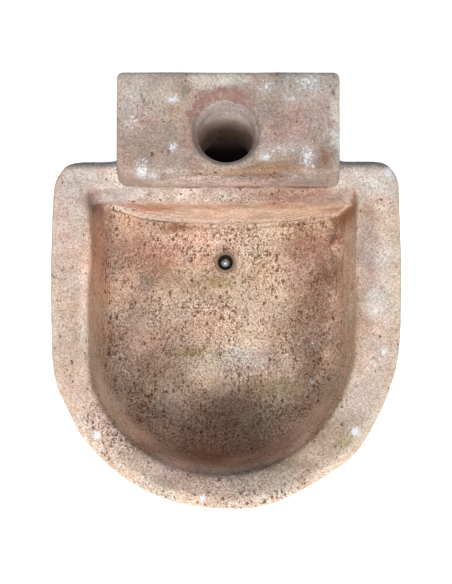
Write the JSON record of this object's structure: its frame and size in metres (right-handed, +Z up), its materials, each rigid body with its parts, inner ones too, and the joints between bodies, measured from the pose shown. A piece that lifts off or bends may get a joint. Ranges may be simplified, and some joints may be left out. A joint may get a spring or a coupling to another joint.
{
  "type": "garden wall fountain",
  "caption": "D-shaped terracotta wall fountain basin on a hollow foot, with a bored block behind its rim for the riser pipe and a plugged floor drain.",
  "frame": {"origin": "on the ground, under the middle of the overall box", "axes": "+Y from the bowl's front towards the wall behind, +Z up, +X to the right as the fountain is faced"},
  "size_m": [0.5582, 0.6731, 0.36],
  "materials": {
    "terracotta": "matt fired clay, pitted and stained",
    "weathered_terracotta": "matt fired clay, greyed by weather",
    "lime_mortar": "matt, sandy",
    "tarnished_metal": "dull, limed over",
    "grey_metal": "worn satin",
    "putty": "matt",
    "rubber": "matt"
  },
  "bodies": {
    "fountain": {"basin": "terracotta", "bedding_mortar": "lime_mortar", "pipe_block": "weathered_terracotta", "drain_tail": "tarnished_metal", "drain_seal": "putty", "drain_washer": "rubber", "drain_backnut": "tarnished_metal"},
    "plug": {"drain_plug": "grey_metal"}
  },
  "joints": [
    {"name": "plug_lift", "type": "slide", "parent": "fountain", "child": "plug", "axis": [0, 0, 1], "range_m": [0, 0.25]}
  ]
}
